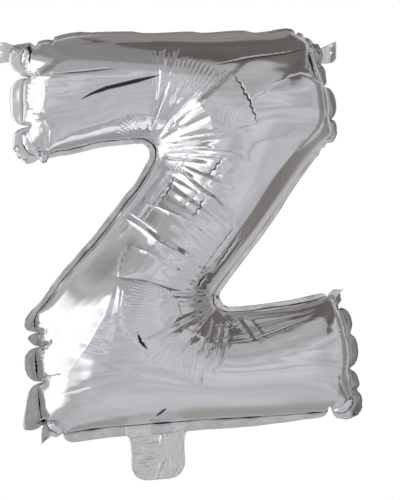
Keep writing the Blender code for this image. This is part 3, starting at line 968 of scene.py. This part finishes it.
stand[:, 1] += flutter * np.minimum(long / FLUTTER_FROM, 1)
shape[loose] = shape[nearest] + stand
# Painted shade on the margin, darker on some sides, carried onto the weld's points as well.
margin_shade = np.zeros(len(flat))
margin_shade[loose] = by_side(MARGIN_SHADE)
in_order = np.argsort(station)
margin_shade[line] = np.interp(marks, station[in_order], margin_shade[loose][in_order])
welded_film = silver("welded_film_finish", MARGIN_TINT, 0.20, 0.00003)
margin = sheet_piece("margin", 2, MARGIN_THICK, welded_film, margin_shade)
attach(margin, "root")
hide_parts("seam_margin")

# The hanging tabs. Each is a flap of the margin with a punched hole for a ribbon, at the upper
# corners of the letter. They are limp, so they curl and crumple.
TAB_REACH = 0.0125
TAB_HEIGHT = 0.019
TAB_HOLE = 0.0012
HOLE_FROM_END = 0.005
# How far the tab overlaps the margin.
TAB_ROOT = 0.008
# The spacing of the tab's points along its edge and inside it.
TAB_EDGE = 0.0012
TAB_NET = 0.0011
sides, times = np.unique(sides_of(faces[sheet == 2]), axis=0, return_counts=True)
rim = np.unique(sides[times == 1])
rim = rim[~np.isin(rim, weld)]


def tab(name, root, upper, lower, turn, lean, crumple):
    """A tab on the margin near a spot: its corners' radii, how it turns and leans, how crumpled it is."""
    start = shape[rim[np.argmin(((shape[rim][:, [0, 2]] - root) ** 2).sum(1))]]
    edge = []
    for z, radius, from_angle in ((TAB_HEIGHT / 2, upper, 90), (-TAB_HEIGHT / 2, lower, 0)):
        middle = z - math.copysign(radius, z)
        for a in np.radians(range(from_angle, from_angle - 91, -15)):
            edge.append(Vector((TAB_REACH - radius + radius * math.cos(a), middle + radius * math.sin(a))))
    edge += [Vector((-TAB_ROOT, -TAB_HEIGHT * 0.3)), Vector((-TAB_ROOT, TAB_HEIGHT * 0.3))]
    hole = [
        Vector((TAB_REACH - HOLE_FROM_END + TAB_HOLE * math.cos(a), TAB_HOLE * math.sin(a)))
        for a in np.radians(range(0, 360, 24))
    ]
    outline = []
    for p, q in zip(edge, edge[1:] + edge[:1]):
        parts = max(1, round((q - p).length / TAB_EDGE))
        outline += [p.lerp(q, k / parts) for k in range(parts)]
    inner = [
        Vector((x, z))
        for x in np.arange(0.001 - TAB_ROOT, TAB_REACH, TAB_NET)
        for z in np.arange(-0.009, 0.0091, TAB_NET)
    ]
    keep = within(outline, inner) & ~within(hole, inner)
    keep &= (to_line(outline, inner) > TAB_EDGE / 2) & (to_line(hole, inner) > TAB_EDGE / 2)
    inner = [p for p, k in zip(inner, keep) if k]
    loops = [list(range(len(outline))), list(range(len(outline), len(outline) + len(hole)))]
    points, _, cut, *_ = delaunay_2d_cdt(outline + hole + inner, [], loops, 1, 1e-7)
    middles = [sum((points[i] for i in face), Vector((0, 0))) / 3 for face in cut]
    cut = [list(face) for face, punched in zip(cut, within(hole, middles)) if not punched]
    out = math.copysign(1, root[0])
    placed = []
    for p in points:
        u, w = p.x, p.y
        curl = turn * max(u, 0) / TAB_REACH
        ridge = abs(math.sin(300 * w + 190 * u)) - 0.5
        fold = crumple * (ridge + 0.6 * math.sin(420 * u + 1.7) * math.cos(330 * w))
        x = out * (u * math.cos(curl))
        y = u * math.sin(curl) + fold * min(1, max(0, (u + 0.003) / 0.006))
        z = w * (1 - 0.08 * u / TAB_REACH) + lean * u
        placed.append((start[0] + x, start[1] + y, start[2] + z))
    mesh = bpy.data.meshes.new(name)
    mesh.from_pydata(placed, [], cut if out > 0 else [face[::-1] for face in cut])
    return loose_sheet(name, mesh, points, MARGIN_THICK, welded_film)


def loose_sheet(name, mesh, pattern, thick, material):
    """A sheet of its own on the balloon, with its wall and with its flat pattern as its UV map."""
    uv = mesh.uv_layers.new(name="pattern")
    for loop in mesh.loops:
        uv.data[loop.index].uv = pattern[loop.vertex_index]
    mesh.shade_smooth()
    mesh.materials.append(material)
    piece = walled(name, mesh, thick, 0)
    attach(piece, "root")
    return piece


left_tab = tab("tab_left", (-0.152, 0.148), 0.008, 0.005, 0.35, 0.05, 0.0004)
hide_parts("hanging_tab_left")
right_tab = tab("tab_right", (0.129, 0.148), 0.001, 0.004, -0.5, 0.3, 0.0002)
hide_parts("hanging_tab_right")

# The filling neck. Two plies of the film hang below the bottom weld and are fused along their
# sides; a flat valve of clear film lies between them and shuts when the gas presses on it.
# Its left and right edge, how far it hangs below the weld, and the radius of its corners.
NECK_SIZE = (-0.0485, -0.0010, 0.0500, 0.014)
NECK_TINT = (0.80, 0.79, 0.785)
# The plies start this far below the weld, and widen into the margin by this fillet.
NECK_START = 0.0005
NECK_FILLET = 0.0035
# How much it slants to the right on its way down, and how far its end swings back.
NECK_SLANT = 0.05
NECK_SWAY = 0.004
# Each ply stands off the middle by this and swells by this more.
PLY_OFF = 0.0004
PLY_SWELL = 0.003
low_weld = weld[(shape[weld, 2] < -0.15) & (shape[weld, 0] > -0.06) & (shape[weld, 0] < 0.01)]
low_weld = low_weld[np.argsort(shape[low_weld, 0])]


def crumpled(x, z, seed):
    """Handled film from -1 to 1: level wrinkles on the left, upright ones on the right, soft waves."""
    level = 1 - 4 * abs(noise.noise(Vector((x * 55, z * 300, seed))))
    upright = 1 - 4 * abs(noise.noise(Vector((x * 210 + z * 60, z * 45, seed + 9))))
    right = min(1, max(0, (x + 0.034) / 0.014))
    waves = noise.noise(Vector((x * 60, z * 40, seed + 5)))
    return 0.5 * (level * (1 - right) + upright * right) + 0.5 * waves


def neck_sheet(name, left, right, drop, corner, away, crumple, seed, thick, material):
    """A sheet of the neck from the weld to its rounded end: away is -1 in front, 1 behind, 0 between."""
    across, down = 60, 72
    verts, uvs, quads = [], [], []
    for j in range(down + 1):
        v = j / down
        for i in range(across + 1):
            u = i / across
            depth = NECK_START + v * (drop - NECK_START)
            below = max(0.0, depth - (drop - corner))
            inset = corner - math.sqrt(max(corner * corner - below * below, 0))
            inset -= NECK_FILLET * math.exp(-max(0.0, depth - 0.0085) / 0.003) if away else 0
            x = left + inset + u * (right - left - 2 * inset) + NECK_SLANT * (depth - 0.03)
            top_z = np.interp(x, shape[low_weld, 0], shape[low_weld, 2])
            top_y = np.interp(x, shape[low_weld, 0], shape[low_weld, 1])
            puff = math.sin(math.pi * u) ** 0.6 * (1 - 0.75 * v) * min(1, max(0, (depth - 0.008) / 0.010))
            fold = crumple * crumpled(x, depth, seed) * min(1, max(0, (depth - 0.005) / 0.008))
            sway = NECK_SWAY * v * v
            verts.append((x, top_y + sway + away * (PLY_OFF + PLY_SWELL * puff) + fold, top_z - depth))
            uvs.append((x, depth))
    for j in range(down):
        for i in range(across):
            a = j * (across + 1) + i
            quad = (a, a + across + 1, a + across + 2, a + 1)
            quads.append(quad if away < 0 else quad[::-1])
    mesh = bpy.data.meshes.new(name)
    mesh.from_pydata(verts, [], quads)
    return loose_sheet(name, mesh, uvs, thick, material)


neck_film = silver("neck_film_finish", NECK_TINT, 0.11, 0.00001)
for name, node, away, seed in (
    ("neck_front", "neck_front_ply", -1, 3.0),
    ("neck_back", "neck_back_ply", 1, 8.0),
):
    ply = neck_sheet(name, *NECK_SIZE, away, 0.0019, seed, FILM_THICK, neck_film)
    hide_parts(node)

# The valve. It is a flat sleeve of clear film between the plies, narrower and a little shorter
# than they are, and a little milky. Its size is given as the neck's is.
VALVE_SIZE = (-0.0380, -0.0120, 0.0465, 0.003)
VALVE_THICK = 0.0002
VALVE_TINT = (0.86, 0.85, 0.80, 1)
clear_film = bpy.data.materials.new("clear_film_finish")
clear_film.use_nodes = True
nodes = clear_film.node_tree.nodes
place = nodes.new("ShaderNodeTexCoord").outputs["Object"]
grain = feed(nodes.new("ShaderNodeTexNoise"), {"Vector": place, "Scale": 900})
ripple = feed(nodes.new("ShaderNodeBump"), {"Height": grain.outputs["Fac"], "Distance": 0.00002})
feed(nodes["Principled BSDF"], {
    "Base Color": VALVE_TINT,
    "Roughness": 0.18,
    "Transmission Weight": 0.6,
    "Normal": ripple.outputs["Normal"],
})
valve = neck_sheet("valve", *VALVE_SIZE, 0, 0.0004, 3.0, VALVE_THICK, clear_film)
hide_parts("valve_sleeve")

# The studio. Everything behind the balloon is white. What the film mirrors is the rest of the
# room, a dome that only reflections see: grey walls, soft boxes on the left and dark corners.
DOME_RADIUS = 5.5
ROOM_LIGHT = (0.52, 0.51, 0.515, 1)
# The room is uneven in level bands, which the round arms draw out into streaks.
BANDS = (1.3, 1.3, 7)
UNEVEN = {"From Min": 0.32, "From Max": 0.68, "To Min": 0.88, "To Max": 1.12}
world = bpy.data.worlds.new("studio")
bpy.context.scene.world = world
world.use_nodes = True
world.node_tree.nodes["Background"].inputs["Color"].default_value = (1, 1, 1, 1)
room = bpy.data.materials.new("room")
room.use_nodes = True
nodes = room.node_tree.nodes
nodes.remove(nodes["Principled BSDF"])
unit = nodes.new("ShaderNodeVectorMath")
unit.operation = "NORMALIZE"
way = feed(unit, {0: nodes.new("ShaderNodeTexCoord").outputs["Object"]}).outputs["Vector"]
parts = feed(nodes.new("ShaderNodeSeparateXYZ"), {"Vector": way})


def reckon(operation, *values):
    """A Math node on sockets or plain numbers, as its result."""
    node = nodes.new("ShaderNodeMath")
    node.operation = operation
    return feed(node, dict(enumerate(values))).outputs["Value"]


def eased(value, start, end):
    """0 before start, 1 after end and a smooth rise between them."""
    node = feed(nodes.new("ShaderNodeMapRange"), {"Value": value, "From Min": start, "From Max": end})
    node.interpolation_type = "SMOOTHSTEP"
    return node.outputs["Result"]


def between(value, low, high, soft):
    """1 between two limits and 0 beyond them, with soft edges."""
    start = eased(value, low - soft / 2, low + soft / 2)
    return reckon("MULTIPLY", start, reckon("SUBTRACT", 1, eased(value, high - soft / 2, high + soft / 2)))


# Degrees round the balloon: 0 is towards the camera, 90 to the right of it, and up is positive.
to_camera = reckon("MULTIPLY", parts.outputs["Y"], -1)
bearing = reckon("DEGREES", reckon("ARCTAN2", parts.outputs["X"], to_camera))
height = reckon("DEGREES", reckon("ARCSINE", parts.outputs["Z"]))
# Bearing from and to, height from and to, softness of its edge, light.
CARDS = (
    (-46, 98, -90, 26, 10, (0.58, 0.57, 0.59)),
    (-250, 250, -100, -66, 10, (0.60, 0.59, 0.61)),
    (5, 42, -32, 8, 10, (0.68, 0.67, 0.695)),
    (-40, -14, -14, 14, 8, (0.72, 0.71, 0.735)),
    (120, 250, -64, -34, 14, (0.40, 0.385, 0.37)),
    (-250, 250, 44, 120, 14, (0.29, 0.28, 0.28)),
    (-46, 98, 26, 46, 10, (0.45, 0.44, 0.45)),
    (24, 250, 50, 120, 12, (0.15, 0.135, 0.125)),
    (12, 50, 36, 64, 8, (0.48, 0.47, 0.48)),
    (54, 135, 27, 80, 6, (0.17, 0.155, 0.145)),
    (84, 126, -46, -19, 8, (0.25, 0.235, 0.22)),
    (98, 128, -19, 27, 8, (0.30, 0.29, 0.285)),
    (157, 176, -34, 60, 6, (0.30, 0.28, 0.27)),
    (-124, -47, -2, 27, 9, (1.36, 1.36, 1.38)),
    (-124, -57, -18, 2, 13, (1.36, 1.36, 1.38)),
    (-124, -68, -38, -12, 14, (1.36, 1.36, 1.38)),
    (-54, -36, 16, 32, 5, (1.25, 1.25, 1.27)),
    (-74, -40, -38, -20, 10, (0.86, 0.86, 0.87)),
    (-50, -38, -36, -23, 8, (1.15, 1.15, 1.17)),
    (-46, 80, 10, 12, 2, (0.50, 0.49, 0.50)),
    (-46, 80, 18, 20, 2, (0.68, 0.68, 0.70)),
    (-46, 80, -9, -6, 2, (0.50, 0.49, 0.50)),
)
light = ROOM_LIGHT
for left, right, low, high, soft, colour in CARDS:
    card = nodes.new("ShaderNodeMix")
    card.data_type = "RGBA"
    inside = reckon("MULTIPLY", between(bearing, left, right, soft), between(height, low, high, soft))
    light = feed(card, {"Factor": inside, "A": light, "B": (*colour, 1)}).outputs["Result"]
bands = feed(nodes.new("ShaderNodeMapping"), {"Vector": way, "Scale": BANDS}).outputs["Vector"]
clutter = feed(nodes.new("ShaderNodeTexNoise"), {"Vector": bands, "Scale": 1, "Detail": 2})
strength = feed(nodes.new("ShaderNodeMapRange"), {"Value": clutter.outputs["Fac"], **UNEVEN})
glow = feed(nodes.new("ShaderNodeEmission"), {"Color": light, "Strength": strength.outputs["Result"]})
feed(nodes["Material Output"], {"Surface": glow.outputs["Emission"]})
room.cycles.emission_sampling = "NONE"
dome_mesh = bpy.data.meshes.new("dome")
ball = bmesh.new()
bmesh.ops.create_uvsphere(ball, u_segments=48, v_segments=24, radius=DOME_RADIUS)
ball.to_mesh(dome_mesh)
ball.free()
dome_mesh.materials.append(room)
dome = bpy.data.objects.new("dome", dome_mesh)
bpy.context.scene.collection.objects.link(dome)
dome.visible_camera = False
dome.visible_diffuse = False
dome.visible_shadow = False

bpy.context.scene.view_settings.view_transform = "Standard"

# The camera. It stands level with the middle of the letter, a little to its left, and its long
# lens sees 0.44 m of height.
CAMERA_BEARING = math.radians(-10)
CAMERA_RISE = math.radians(1)
CAMERA_AWAY = 1.8
AIM = Vector((0.0130, 0.0023, -0.0238))
camera = bpy.data.objects.new("camera", bpy.data.cameras.new("camera"))
bpy.context.scene.collection.objects.link(camera)
stand = Vector((math.sin(CAMERA_BEARING), -math.cos(CAMERA_BEARING), math.tan(CAMERA_RISE)))
camera.location = AIM + stand * CAMERA_AWAY
camera.rotation_euler = (-stand).to_track_quat("-Z", "Y").to_euler()
camera.data.lens = 147
bpy.context.scene.camera = camera
